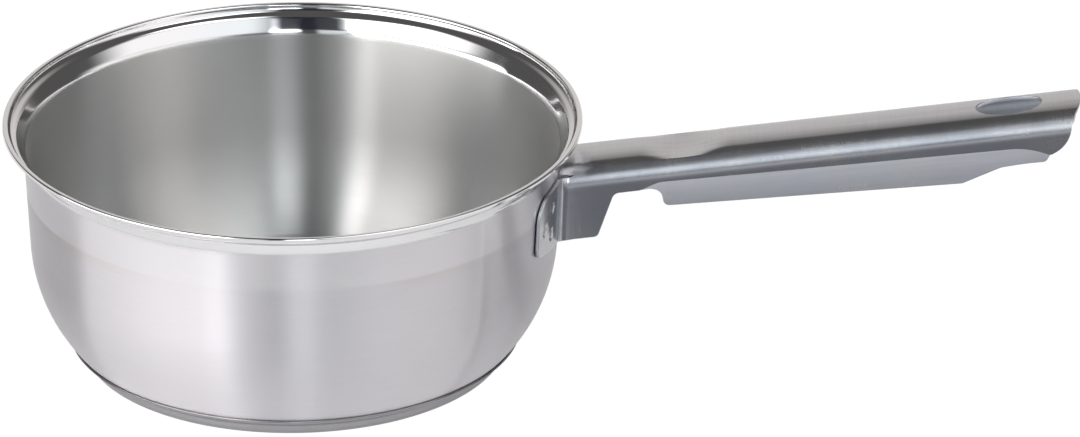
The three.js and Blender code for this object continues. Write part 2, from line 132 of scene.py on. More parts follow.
class SAUCEPAN_PG_handle(bpy.types.PropertyGroup):
    """Sizes of the folded sheet handle."""

    reach: length("Length", "Length along the crest from the wall", 176.2)
    half_width: length("Half width", "Half of the width across the sides", 13.4)
    sheet: length("Sheet", "Thickness of the handle's steel", 1.2)
    tilt: angle("Tilt", "Rise of the handle from the level", 7.1)
    crest_height: length("Crest height", "Height of the crest at the wall", 71.7)
    crown_angle: angle("Crown angle", "Half of the crown's arc", 9)
    shoulder_radius: length("Shoulder radius", "Round between crown and side", 7.4)
    fold: angle("Fold", "How far the lower band is folded in", 26)
    crease_radius: length("Crease radius", "Round of the fold", 1.5)
    crease_root: length("Crease depth at root", "Depth of the fold where it starts", 8.5)
    crease_tail: length("Crease depth at tail", "Depth of the fold before the tail", 10.6)
    crease_tip: length("Crease depth at tip", "Depth of the fold at the tip", 14.5)
    band_root: length("Band depth at root", "Depth of the free edge where it starts", 19.9)
    band_tail: length("Band depth at tail", "Depth of the free edge before the tail", 24.4)
    thumb_place: length("Thumb rest place", "Distance of the thumb rest from the wall", 41)
    thumb_reach: length("Thumb rest reach", "Half length of the thumb rest", 16)
    thumb_depth: length("Thumb rest depth", "How far the crown is pressed flat", 1.7)
    thumb_hollow: length("Thumb rest hollow", "Hollow of the pressed floor", 0.4)
    skirt_depth: length("Skirt depth", "Depth of the skirt at the root", 26.1)
    skirt_length: length("Skirt length", "Length of the skirt along the handle", 9.2)
    skirt_corner: length("Skirt corner", "Round of the skirt's lower corner", 2.2)
    notch_start: length("Notch start", "Where the notch reaches its full height", 16.8)
    notch_depth: length("Notch depth", "Depth of the sides inside the notch", 10.9)
    notch_corner: length("Notch corner", "Round at the skirt side of the notch", 3)
    band_start: length("Band start", "Where the folded band starts", 32.5)
    band_corner: length("Band corner", "Round at the band side of the notch", 7.4)
    tail_plan_radius: length("Tail plan radius", "Round of the tail seen from above", 30)
    tail_nose: length("Tail nose", "Depth of the tail's upright end", 1)
    tail_side_radius: length("Tail side radius", "Round of the tail seen from the side", 11.3)
    tail_side_inset: length("Tail side inset", "Centre of that round from the tail's end", 14.7)
    tail_side_depth: length("Tail side depth", "Depth of that round's centre", 3.5)
    tail_side_start: angle("Tail side start", "Where that round starts, down from the level", 5)
    tail_side_end: angle("Tail side end", "Where that round ends, down from the level", 76)
    tail_inset: length("Tail inset", "How far the lower tip stays back", 11.9)
    tail_crease_run: length("Tail crease run", "Length over which the fold drops", 13.5)
    hook_back: length("Hook back", "How far the tip's lower corner goes back", 1.9)
    hook_drop: length("Hook drop", "How far the tip's lower corner drops", 3.2)
    hook_round: length("Hook round", "Round of the tip's lower corner", 2.2)
    tail_cut: length("Tail cut", "Length of the slanting cut", 43)
    tail_rise: length("Tail rise", "Rise of the free edge in the cut", 5.5)
    tail_run: length("Tail run", "Length of that rise", 13.8)
    hole_length: length("Hole length", "Length of the hanging hole", 22.4)
    hole_width: length("Hole width", "Width of the hanging hole", 14)
    hole_inset: length("Hole inset", "Centre of the hole from the tail", 24.3)
    edge_round: length("Edge round", "Round of the cut edges", 0.3)


class SAUCEPAN_PG_ears(bpy.types.PropertyGroup):
    """Sizes of the two ears and their spot welds."""

    reach: length("Reach", "How far an ear reaches to the side", 36.2)
    top: length("Top", "Height of an ear's top edge", 69.2)
    low: length("Low corner", "Height of an ear's low corner", 48.6)
    root_low: length("Root low", "Height of the lower edge at the handle", 45.4)
    bend: length("Bend", "Inside radius of the bend", 2.6)
    top_corner: length("Top corner", "Round of the top corner", 8)
    low_corner: length("Low corner round", "Round of the low corner", 4)
    gap: length("Gap", "Gap to the wall", 0.3)
    flat: length("Flat", "Flat of the side before the bend", 3)
    slit: length("Slit", "Slit between an ear's top and the crown", 0.5)
    weld_radius: length("Weld radius", "Radius of a weld mark", 1.8)
    weld_dish: length("Weld dish", "Depth of a weld mark", 0.45)


class SAUCEPAN_PG_steel(bpy.types.PropertyGroup):
    """Colours and finish of the steels."""

    pan: colour("Pan", "Satin outside of the vessel", (0.755, 0.735, 0.76))
    polish: colour("Polish", "Polished rim", (0.86, 0.855, 0.86))
    inside: colour("Inside", "Satin inside of the vessel", (0.685, 0.685, 0.675))
    # Partly painted shade: the base's steel is set darker for the shade that it mirrors from the
    # floor under the pan.
    base: colour("Base", "Turned steel of the base", (0.42, 0.41, 0.42))
    handle: colour("Handle", "Brushed steel of the handle", (0.665, 0.67, 0.69))
    # Painted reflection: a bluer, darker copy of the handle's steel, given to its sides for the
    # cool light that they mirror.
    handle_side_painted_reflection: colour("Handle side", "Bluer steel of the handle's sides", (0.62, 0.65, 0.71))
    tint: colour("Heat tint", "Faint tint where the polished band ends", (0.70, 0.64, 0.60))
    weld: colour("Weld", "Pressed weld marks", (0.50, 0.49, 0.52))
    core: colour("Core", "Rolled aluminium of the core", (0.80, 0.81, 0.83))
    satin_roughness: amount("Satin roughness", "Roughness of the satin steel", 0.40)
    inside_roughness: amount("Inside roughness", "Roughness of the inside", 0.36)
    polish_roughness: amount("Polish roughness", "Roughness of the polished rim", 0.06)
    handle_roughness: amount("Handle roughness", "Roughness of the handle", 0.24)


class SAUCEPAN_PG_stage(bpy.types.PropertyGroup):
    """The studio and the camera."""

    photo_width: bpy.props.IntProperty(
        name="Picture width", description="Width of the picture in pixels", default=1080
    )
    photo_height: bpy.props.IntProperty(
        name="Picture height", description="Height of the picture in pixels", default=437
    )
    pixels_per_mm: amount("Pixels per millimetre", "Scale of the picture at the pan", 2.96)
    pan_x: amount("Pan across", "Pixel column of the point that the camera faces", 293.9)
    pan_y: amount("Pan down", "Pixel row of the point that the camera faces", 224.6)
    aim_height: length("Aim height", "Height of that point on the pan's axis", 45)
    distance: length("Distance", "Camera's distance from that point", 6500)
    turn: angle("Turn", "Camera's turn round the pan", 2.5)
    elevation: angle("Elevation", "Camera's height over the level", 24.5)
    roll: angle("Roll", "Camera's roll", 0.83)
    floor: colour("Floor", "Pale floor", (0.9, 0.9, 0.9))


GROUPS = {
    "saucepan_vessel": SAUCEPAN_PG_vessel,
    "saucepan_base": SAUCEPAN_PG_base,
    "saucepan_handle": SAUCEPAN_PG_handle,
    "saucepan_ears": SAUCEPAN_PG_ears,
    "saucepan_steel": SAUCEPAN_PG_steel,
    "saucepan_stage": SAUCEPAN_PG_stage,
}


# Shader expressions
class Wire:
    """A value that leaves a node. Sums on it add Math nodes."""

    def __init__(self, tree, socket):
        self.tree = tree
        self.socket = socket

    def math(self, operation, *others):
        """A Math node on this value."""
        inputs = dict(enumerate((self, *others)))
        return self.tree.node("ShaderNodeMath", {"operation": operation}, inputs)

    def __add__(self, other):
        return self.math("ADD", other)

    def __mul__(self, other):
        return self.math("MULTIPLY", other)

    __radd__ = __add__
    __rmul__ = __mul__

    def __sub__(self, other):
        return self.math("SUBTRACT", other)

    def __rsub__(self, other):
        return self.tree.node("ShaderNodeMath", {"operation": "SUBTRACT"}, {0: other, 1: self})

    def __neg__(self):
        return self * -1

    def ramp(self, low, high, start=0.0, end=1.0):
        """This value eased from start at low to end at high."""
        return self.tree.node(
            "ShaderNodeMapRange",
            {"interpolation_type": "SMOOTHSTEP"},
            {"Value": self, "From Min": low, "From Max": high, "To Min": start, "To Max": end},
        )


class Shader:
    """A node tree that is written as expressions."""

    def __init__(self, node_tree):
        self.nodes = node_tree.nodes
        self.links = node_tree.links
        self.nodes.clear()

    def node(self, kind, settings=None, inputs=None, output=0):
        """A node of that type, with its settings, then its sockets' values or links."""
        made = self.nodes.new(kind)
        for name, value in (settings or {}).items():
            setattr(made, name, value)
        for name, value in (inputs or {}).items():
            socket = self.socket(made.inputs, name)
            if isinstance(value, Wire):
                self.links.new(value.socket, socket)
            else:
                socket.default_value = value
        return Wire(self, self.socket(made.outputs, output)) if made.outputs else None

    @staticmethod
    def socket(sockets, name):
        """A socket by its place, its identifier or its name."""
        if isinstance(name, int):
            return sockets[name]
        return next(s for s in sockets if name in (s.identifier, s.name))

    def mix(self, share, first, second):
        """Two colours mixed."""
        colours = [value if isinstance(value, Wire) else (*value, 1) for value in (first, second)]
        return self.node(
            "ShaderNodeMix",
            {"data_type": "RGBA"},
            {"Factor_Float": share, "A_Color": colours[0], "B_Color": colours[1]},
            "Result_Color",
        )

    def apart(self, vector):
        """The three values of a vector."""
        sockets = self.node("ShaderNodeSeparateXYZ", None, {"Vector": vector}).socket.node.outputs
        return [Wire(self, socket) for socket in sockets]

    def axes(self, source="Object"):
        """The three values of a texture coordinate."""
        return self.apart(self.node("ShaderNodeTexCoord", None, None, source))

    def outward(self):
        """The three values of the surface's normal."""
        return self.apart(self.node("ShaderNodeNewGeometry", None, None, "Normal"))

    def noise(self, places, scale=1.0, detail=2.0, roughness=0.5):
        """A noise from 0 to 1 at a place given by three values."""
        place = self.node("ShaderNodeCombineXYZ", None, dict(enumerate(places)))
        values = {"Vector": place, "Scale": scale, "Detail": detail, "Roughness": roughness}
        return self.node("ShaderNodeTexNoise", None, values)

    def metal(self, colour, rough, bump, turned=0.0):
        """A metal with a bump of height, distance and strength, its shine drawn out if turned."""
        values = {
            "Base Color": colour,
            "Metallic": 1.0,
            "Roughness": rough,
            "Normal": self.node(
                "ShaderNodeBump", None, dict(zip(("Height", "Distance", "Strength"), bump))
            ),
            "Anisotropic": turned,
            "Anisotropic Rotation": 0.25 if turned else 0.0,
        }
        self.output("Material", self.node("ShaderNodeBsdfPrincipled", None, values))

    def blend(self, share, first, second):
        """Two shaders mixed, on the material's output."""
        mixed = self.node("ShaderNodeMixShader", None, {"Fac": share, 1: first, 2: second})
        self.output("Material", mixed)

    def output(self, kind, surface):
        """The tree's last node."""
        self.node(f"ShaderNodeOutput{kind}", None, {"Surface": surface})


def new_material(name):
    """An empty node material and its shader tree."""
    material = bpy.data.materials.new(name)
    material.use_nodes = True
    return material, Shader(material.node_tree)


# Outlines
def arc(centre, radius, start, end, steps):
    """Points on an arc, both ends included."""
    turn = np.linspace(start, end, steps + 1)
    return np.column_stack((centre[0] + radius * np.cos(turn), centre[1] + radius * np.sin(turn)))


def rounded_line(corners, steps=8, closed=False):
    """A line through (x, y, round) corners, each rounded as far as its sides have room."""
    points = []
    for index, (x, y, round_off) in enumerate(corners):
        corner = np.array((x, y))
        if not round_off or (not closed and index in (0, len(corners) - 1)):
            points.append(corner[None])
            continue
        back = np.array(corners[index - 1][:2]) - corner
        ahead = np.array(corners[(index + 1) % len(corners)][:2]) - corner
        room = min(np.linalg.norm(back), np.linalg.norm(ahead)) / 2
        back /= np.linalg.norm(back)
        ahead /= np.linalg.norm(ahead)
        half = math.acos(max(-1, min(1, back @ ahead))) / 2
        fillet = min(round_off, room * math.tan(half))
        middle = (back + ahead) / np.linalg.norm(back + ahead)
        centre = corner + middle * fillet / math.sin(half)
        start = corner + back * fillet / math.tan(half) - centre
        turn = math.copysign(math.pi - 2 * half, back[0] * ahead[1] - back[1] * ahead[0])
        begin = math.atan2(start[1], start[0])
        points.append(arc(centre, fillet, begin, begin - turn, steps))
    return np.concatenate(points)


def offset_line(line, distance):
    """The line at an even distance to its left, with mitred corners."""
    step = np.diff(line, axis=0)
    step /= np.linalg.norm(step, axis=1)[:, None]
    into = np.vstack((step[:1], step))
    out = np.vstack((step, step[-1:]))
    normal = np.column_stack((-into[:, 1] - out[:, 1], into[:, 0] + out[:, 0]))
    normal /= np.linalg.norm(normal, axis=1)[:, None]
    stretch = 1 / (normal[:, 0] * -into[:, 1] + normal[:, 1] * into[:, 0])
    return line + normal * (distance * stretch)[:, None]


def filled_in(line, longest):
    """The line with points added so that no step is longer than that."""
    points = [line[:1]]
    for start, end in zip(line[:-1], line[1:]):
        count = max(1, math.ceil(np.linalg.norm(end - start) / longest))
        points.append(start + (end - start) * (np.arange(1, count + 1) / count)[:, None])
    return np.concatenate(points)


def round_end(first, last, steps=6):
    """Points of a half round from one end to the other, both ends left out."""
    middle = (first + last) / 2
    spoke = first - middle
    turn = -np.linspace(0, math.pi, steps + 1)[1:-1]
    return middle + np.column_stack(
        (
            spoke[0] * np.cos(turn) - spoke[1] * np.sin(turn),
            spoke[0] * np.sin(turn) + spoke[1] * np.cos(turn),
        )
    )


# Meshes
def add_mesh(name, points, faces, normals, material, slot, *replaced):
    """A smooth mesh with its own normals, which stands for CAD nodes."""
    mesh = bpy.data.meshes.new(name)
    mesh.from_pydata([tuple(point) for point in points], [], faces)
    mesh.polygons.foreach_set("use_smooth", [True] * len(mesh.polygons))
    mesh.normals_split_custom_set_from_vertices([tuple(normal) for normal in normals])
    mesh.materials.append(material)
    piece = bpy.data.objects.new(name, mesh)
    bpy.context.scene.collection.objects.link(piece)
    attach(piece, "root")
    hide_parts(*replaced)


def lathe(profile, steps):
    """Points, faces and normals of a profile in radius and height, turned about Z."""
    step = np.diff(profile, axis=0)
    weight = np.vstack((np.zeros((1, 2)), step)) + np.vstack((step, np.zeros((1, 2))))
    side = np.column_stack((weight[:, 1], -weight[:, 0]))
    side /= np.linalg.norm(side, axis=1)[:, None]
    side[profile[:, 0] < 1e-9] = (0, 1)
    side[0] = (0, -1) if profile[0, 0] < 1e-9 else side[0]
    points, normals, rings = [], [], []
    for (radius, height), (out, up) in zip(profile, side):
        turns = np.arange(steps) * TURN / steps if radius > 1e-9 else np.zeros(1)
        rings.append(range(len(points), len(points) + len(turns)))
        points.extend((radius * math.cos(t), radius * math.sin(t), height) for t in turns)
        normals.extend((out * math.cos(t), out * math.sin(t), up) for t in turns)
    faces = []
    for low, high in zip(rings[:-1], rings[1:]):
        for i in range(steps):
            j = (i + 1) % steps
            if len(low) == 1:
                faces.append((low[0], high[j], high[i]))
            elif len(high) == 1:
                faces.append((low[i], low[j], high[0]))
            else:
                faces.append((low[i], low[j], high[j], high[i]))
    return points, faces, normals


class VesselForm:
    """The vessel's profile, from its sizes."""

    def __init__(self, sizes, base):
        s = self.sizes = sizes
        self.belly_start = (
            s.underside
            + s.belly_radius * (math.sin(s.belly_sweep) - math.sin(s.lean))
            + s.corner_radius * (1 - math.sin(s.belly_sweep))
        )
        self.belly = (
            self.outside_at(self.belly_start) - s.belly_radius * math.cos(s.lean),
            self.belly_start + s.belly_radius * math.sin(s.lean),
        )
        short = s.belly_radius - s.corner_radius
        self.corner = (
            self.belly[0] + short * math.cos(s.belly_sweep),
            self.belly[1] - short * math.sin(s.belly_sweep),
        )
        self.core_radius = self.corner[0] - base.core_inset

    def inside_at(self, height):
        return self.sizes.inside_radius - (self.sizes.wall_top - height) * math.tan(self.sizes.lean)

    def outside_at(self, height):
        return self.inside_at(height) + self.sizes.sheet / math.cos(self.sizes.lean)

    def face(self, inward):
        """The wall from the axis out and up, at a depth below its outer face."""
        s = self.sizes
        corner = arc(self.corner, s.corner_radius - inward, -math.pi / 2, -s.belly_sweep, 10)
        belly = arc(self.belly, s.belly_radius - inward, -s.belly_sweep, -s.lean, 40)[1:]
        return np.vstack(((0, s.underside + inward), corner, belly))

    def rim(self):
        """The inner face of the wall's top and the rim, going out."""
        s = self.sizes
        x, y = s.inside_radius, s.wall_top
        corners = [(self.inside_at(self.belly_start), self.belly_start, 0), (x, y, s.flare_bend)]
        for width, height, bend in (
            (s.flare_width, s.flare_height, s.seat_bend),
            (s.seat_width, s.seat_height, s.seat_bend),
            (s.stand_width, s.stand_height, s.lip_bend),
            (s.curl_width, 0, s.lip_bend),
            (0, -s.curl_drop, 0),
        ):
            x, y = x + width, y + height
            corners.append((x, y, bend))
        return rounded_line(corners, 8)[1:]

    def profile(self):
        """The outer face up, round the curl's end, and the inner face down."""
        inside = filled_in(np.vstack((self.face(self.sizes.sheet), self.rim())), STEP)
        outside = np.vstack((self.face(0), offset_line(self.rim(), -self.sizes.sheet)))
        outside = filled_in(outside, STEP)
        return np.vstack((outside, round_end(outside[-1], inside[-1]), inside[::-1]))


class HandleForm:
    """The handle's sheet as two kinds of patch: the folded channel and the ears."""

    def __init__(self, handle, ears, vessel):
        self.h = handle
        self.e = ears
        self.vessel = vessel
        h = handle
        self.root = (vessel.outside_at(h.crest_height), h.crest_height)
        self.crown_edge = h.half_width - h.shoulder_radius * (1 - math.sin(h.crown_angle))
        self.crown_radius = self.crown_edge / math.sin(h.crown_angle)
        self.shoulder = (
            self.crown_edge - h.shoulder_radius * math.sin(h.crown_angle),
            -self.crown_radius * (1 - math.cos(h.crown_angle))
            - h.shoulder_radius * math.cos(h.crown_angle),
        )
        self.rows = np.cumsum(
            (
                0,
                self.crown_radius * h.crown_angle,
                h.shoulder_radius * (math.pi / 2 - h.crown_angle),
                h.crease_tail + self.shoulder[1],
                h.crease_radius * h.fold,
                h.band_tail - h.crease_tail,
            )
        )
        self.tip = h.reach - h.tail_inset
        self.fold_start = h.band_start - h.band_corner
        self.cut_start = h.reach - h.tail_cut

    def crease_at(self, a):
        """Depth of the fold at a place along the handle."""
        h = self.h
        start = self.tip - h.tail_crease_run
        line = np.interp(
            a,
            (self.fold_start, h.band_start, start),
            (h.notch_depth, h.crease_root, h.crease_tail),
        )
        share = np.clip((a - start) / h.tail_crease_run, 0, 1)
        return line + (h.crease_tip - h.crease_tail) * share**2

    def bottom_at(self, a):
        """Depth of the sheet's free edge, before the notch and the tail are cut."""
        h = self.h
        return np.interp(
            a,
            (h.notch_start, h.band_start, self.cut_start),
            (h.skirt_depth, h.band_root, h.band_tail),
        )

    def fold_at(self, a):
        return np.interp(a, (self.h.notch_start, self.fold_start), (0, self.h.fold))

    def fold_depths(self, a):
        """Depths where the fold's round starts and ends."""
        fold = self.fold_at(a)
        start = self.crease_at(a) - self.h.crease_radius * np.tan(fold / 2)
        return start, start + self.h.crease_radius * np.sin(fold)

    def channel(self, a, t):
        """Points of the channel's outer face. The sign of t is the side."""
        h = self.h
        side, t = np.where(t < 0, -1, 1), np.abs(t)
        rows = self.rows
        share = [np.clip((t - rows[i]) / (rows[i + 1] - rows[i]), 0, 1) for i in range(5)]
        crown = share[0] * h.crown_angle
        turn = h.crown_angle + share[1] * (math.pi / 2 - h.crown_angle)
        fold = self.fold_at(a)
        start, end = self.fold_depths(a)
        bend = share[3] * fold
        drop = share[4] * (self.bottom_at(a) - end)
        in_crown, in_shoulder = t <= rows[1], t <= rows[2]
        w = np.where(
            in_crown,
            self.crown_radius * np.sin(crown),
            np.where(
                in_shoulder,
                self.shoulder[0] + h.shoulder_radius * np.sin(turn),
                h.half_width - h.crease_radius * (1 - np.cos(bend)) - drop * np.tan(fold),
            ),
        )
        up = np.where(
            in_crown,
            -self.crown_radius * (1 - np.cos(crown)),
            np.where(
                in_shoulder,
                self.shoulder[1] + h.shoulder_radius * np.cos(turn),
                self.shoulder[1] * (1 - share[2])
                - start * share[2]
                - h.crease_radius * np.sin(bend)
                - drop,
            ),
        )
        along = np.clip(np.abs(a - h.thumb_place) / h.thumb_reach, 0, 1)
        floor = -h.thumb_depth - h.thumb_hollow * (1 - (w / h.half_width) ** 2)
        up = up - np.maximum(up - floor, 0) * (1 - along**2) ** 2
        return self.placed(a, side * w, up)

    def placed(self, a, w, up):
        """From the handle's own frame to the pan's."""
        cos, sin = math.cos(self.h.tilt), math.sin(self.h.tilt)
        x, z = self.root[0] + a * cos - up * sin, self.root[1] + a * sin + up * cos
        return np.stack((x, w, z), -1)

    def own(self, x, z):
        """From the pan's frame to the handle's own place and height."""
        cos, sin = math.cos(self.h.tilt), math.sin(self.h.tilt)
        dx, dz = x - self.root[0], z - self.root[1]
        return dx * cos + dz * sin, dz * cos - dx * sin

    def row_of(self, a, depth):
        """The t of a point of the shoulder, the side or the band at that depth."""
        rows, h = self.rows, self.h
        start, end = self.fold_depths(a)
        fold = np.maximum(self.fold_at(a), 1e-9)
        bend = np.arcsin(np.clip((depth - start) / h.crease_radius, 0, np.sin(fold)))
        rise = np.clip((-depth - self.shoulder[1]) / h.shoulder_radius, 0, math.cos(h.crown_angle))
        shoulder = rows[1] + h.shoulder_radius * (np.arccos(rise) - h.crown_angle)
        high = self.shoulder[1]
        side = rows[2] + (rows[3] - rows[2]) * (depth + high) / (start + high)
        round_off = rows[3] + (rows[4] - rows[3]) * bend / fold
        band = rows[4] + (rows[5] - rows[4]) * (depth - end) / (self.bottom_at(a) - end)
        low = np.where(depth <= start, side, np.where(depth < end, round_off, band))
        return np.where(depth < -self.shoulder[1], shoulder, low)

    def side_at(self, x, z):
        """How far the folded side stands from the handle's middle near the wall."""
        rise = self.own(x, z)[1] - self.shoulder[1]
        radius = self.h.shoulder_radius
        rise = np.clip(rise, 0, radius * math.cos(self.h.crown_angle))
        return self.shoulder[0] + np.sqrt(radius**2 - rise**2)

    def seat_at(self, z):
        """Radius of the wall's seat for an ear's inner face."""
        return self.vessel.outside_at(z) + self.e.gap / math.cos(self.vessel.sizes.lean)

    def bend_at(self, z):
        """Outer radius of an ear, the centre of its bend and that centre's direction."""
        face = self.seat_at(z) + self.h.sheet
        x = face
        for _ in range(4):
            off = self.side_at(x, z) + self.e.bend
            x = np.sqrt((face + self.e.bend) ** 2 - off**2)
        return face, x, off, np.arctan2(off, x)

    def welds(self):
        """Places of the welds on an ear, as their side and height."""
        e = self.e
        tall = e.top - e.low
        return [(reach * e.reach, e.low + rise * tall) for reach, rise in WELDS.values()]

    def ear(self, q, z, side):
        """Points of an ear's outer face, from the flat side round the bend and along the wall."""
        e = self.e
        face, x, off, lean = self.bend_at(z)
        bend = e.bend * (math.pi / 2 - lean)
        for place, height in self.welds():
            there = self.q_of(place, height)
            far = np.hypot(q - there, z - height) / (WELD_MARK_SHARE * e.weld_radius)
            rise = np.clip((far - WELD_MARK_FLAT) / (1 - WELD_MARK_FLAT), 0, 1)
            face = face - e.weld_dish * (1 - rise**2) * (far < 1)
        turn = 1.5 * math.pi - np.clip(q, 0, bend) / e.bend
        wall = lean + np.maximum(q - bend, 0) / face
        on_wall = q > bend
        bent = x + e.bend * np.cos(turn) - np.minimum(q, 0)
        px = np.where(on_wall, face * np.cos(wall), bent)
        py = np.where(on_wall, face * np.sin(wall), off + e.bend * np.sin(turn))
        px = np.where(q < 0, x - q, px)
        py = np.where(q < 0, self.side_at(px, z), py)
        return np.stack((px, side * py, z + 0 * q), -1)

    def q_of(self, y, z):
        """Distance along an ear of a point at that side and height."""
        face, _, off, lean = self.bend_at(z)
        bend = self.e.bend * (math.pi / 2 - lean)
        end = off - self.e.bend * np.sin(lean)
        wall = bend + face * (np.arcsin(np.clip(y / face, -1, 1)) - lean)
        turn = math.pi + np.arcsin(np.clip((off - y) / self.e.bend, -1, 1))
        return np.where(y > end, wall, self.e.bend * (1.5 * math.pi - turn))

    def seam(self):
        """Points where channel and ear meet, from the bottom up, as x and z."""
        h = self.h
        x = self.bend_at(self.e.low)[1] + self.e.flat
        rise = (x - self.root[0]) * math.tan(h.tilt)
        low = self.root[1] + rise - h.skirt_depth / math.cos(h.tilt)
        z = np.linspace(low, self.e.top, 30)
        return np.full(len(z), x), z

    def channel_outline(self):
        """Half of the channel's outline in (a, t), from the crest at the tail round to the root."""
        h = self.h
        rows = self.rows
        centre = (h.reach - h.tail_side_inset, -h.tail_side_depth)
        side = arc(centre, h.tail_side_radius, -h.tail_side_start, -h.tail_side_end, 20)
        tail = np.vstack(((h.reach, 0), (h.reach, -h.tail_nose), side))
        t = np.linspace(0, rows[2], 36)
        spot = self.channel(np.full(36, h.reach), t)
        a, up = self.own(spot[:, 0], spot[:, 2])
        plan = h.reach - h.tail_plan_radius + np.sqrt(h.tail_plan_radius**2 - spot[:, 1] ** 2)
        end = np.minimum(plan, np.interp(-up, -tail[:, 1], tail[:, 0]))
        points = [np.column_stack((end, t))]
        depth = np.linspace(-self.shoulder[1], -side[-1][1], 16)[1:]
        a = np.minimum(np.interp(depth, -tail[:, 1], tail[:, 0]), end[-1])
        points.append(np.column_stack((a, self.row_of(a, depth))))
        below = filled_in(
            rounded_line(
                [
                    (*side[-1], 0),
                    (self.tip - h.hook_back, -h.crease_tip - h.hook_drop, h.hook_round),
                    (self.cut_start + h.tail_run, -h.band_tail + h.tail_rise, h.tail_rise),
                    (self.cut_start, -h.band_tail, 0),
                    (h.band_start, -h.band_root, h.skirt_corner),
                    (h.band_start, -h.notch_depth, h.band_corner),
                    (h.notch_start, -h.notch_depth, h.notch_corner),
                    (h.skirt_length, -h.skirt_depth, h.skirt_corner),
                    (self.own(*(v[0] for v in self.seam()))[0], -h.skirt_depth, 0),
                ]
            ),
            1.2 * MM,
        )[1:-1]
        points.append(np.column_stack((below[:, 0], self.row_of(below[:, 0], -below[:, 1]))))
        a, up = self.own(*self.seam())
        t = np.minimum(self.row_of(a, -up), rows[5])
        points.append(np.column_stack((a, t)))
        top = t[-1] - self.e.slit
        t = np.concatenate((np.linspace(top, rows[1], 8), np.linspace(rows[1], 0, 14)[1:]))
        points.append(np.column_stack((self.root_place(t), t)))
        return np.vstack(points)

    def root_place(self, t):
        """Where each row of the channel ends at the wall's seat."""
        a = np.zeros_like(t)
        for _ in range(8):
            spot = self.channel(a, t)
            gap = self.seat_at(spot[:, 2]) - np.hypot(spot[:, 0], spot[:, 1])
            a = a + gap * math.cos(self.h.tilt)
        return a

    def ear_outline(self):
        """An ear's outline in (q, z), from the seam's foot round to its top."""
        e = self.e
        x, z = self.seam()
        q = self.bend_at(z)[1] - x
        around = filled_in(
            rounded_line(
                [
                    (self.h.half_width, e.root_low, 0),
                    (e.reach, e.low, e.low_corner),
                    (e.reach, e.top, e.top_corner),
                    (self.h.half_width + e.bend / 2, e.top, 0),
                ],
                12,
            ),
            1 * MM,
        )
        free = np.column_stack((self.q_of(around[:, 0], around[:, 1]), around[:, 1]))
        return np.vstack((free, np.column_stack((q, z))[::-1]))


def within(points, outlines):
    """Which points lie inside a closed outline and outside its holes."""
    x, y = points[:, 0:1], points[:, 1:2]
    crossed = 0
    for outline in outlines:
        x0, y0 = outline[:, 0], outline[:, 1]
        x1, y1 = np.roll(x0, -1), np.roll(y0, -1)
        with np.errstate(divide="ignore", invalid="ignore"):
            at = x0 + (y - y0) * (x1 - x0) / (y1 - y0)
        crossed = crossed + np.sum(((y0 > y) != (y1 > y)) & (x < at), axis=1)
    return (crossed % 2).astype(bool)


def meshed(outlines, columns, rows, clear):
    """Triangles over an outline with holes, on a grid of columns and rows."""
    grid = np.array(np.meshgrid(columns, rows, indexing="ij")).reshape(2, -1).T
    grid = grid[within(grid, outlines)]
    edge = np.vstack(outlines)
    near = np.array([np.min(np.hypot(*(edge - point).T)) for point in grid])
    grid = grid[near > clear]
    links, first = [], 0
    for outline in outlines:
        count = len(outline)
        links += [(first + i, first + (i + 1) % count) for i in range(count)]
        first += count
    points = np.vstack((edge, grid)) / MM
    made = delaunay_2d_cdt([Vector(p) for p in points], links, [], 0, 1e-5)
    flat = np.array([tuple(p) for p in made[0]]) * MM
    faces = np.array([f for f in made[2] if len(f) == 3])
    return flat, faces[within(flat[faces].mean(axis=1), outlines)]


def surfaced(form, flat):
    """Points and normals of a surface at flat coordinates."""
    small = 1e-6
    point = form(flat[:, 0], flat[:, 1])
    along = form(flat[:, 0] + small, flat[:, 1]) - form(flat[:, 0] - small, flat[:, 1])
    across = form(flat[:, 0], flat[:, 1] + small) - form(flat[:, 0], flat[:, 1] - small)
    normal = np.cross(along, across)
    return point, normal / np.linalg.norm(normal, axis=1)[:, None]


def facing(points, faces, normals):
    """The faces turned so that they agree with the normals."""
    a, b, c = (points[faces[:, i]] for i in range(3))
    wrong = np.sum(np.cross(b - a, c - a) * normals[faces[:, 0]], axis=1) < 0
    faces = faces.copy()
    faces[wrong] = faces[wrong][:, ::-1]
    return faces


def joined(patches):
    """Patches of points, faces and normals as one, with shared points merged."""
    index, points, normals, faces = {}, [], [], []
    for spots, tris, out in patches:
        local = []
        for spot, normal in zip(spots, out):
            key = tuple(np.round(spot / (0.002 * MM)).astype(int))
            if key not in index:
                index[key] = len(points)
                points.append(spot)
                normals.append(np.zeros(3))
            local.append(index[key])
            normals[index[key]] = normals[index[key]] + normal
        faces += [[local[i] for i in tri] for tri in tris]
    normals = np.array(normals)
    faces = [f for f in faces if len(set(f)) == 3]
    return (
        np.array(points),
        np.array(faces),
        normals / np.linalg.norm(normals, axis=1)[:, None],
    )


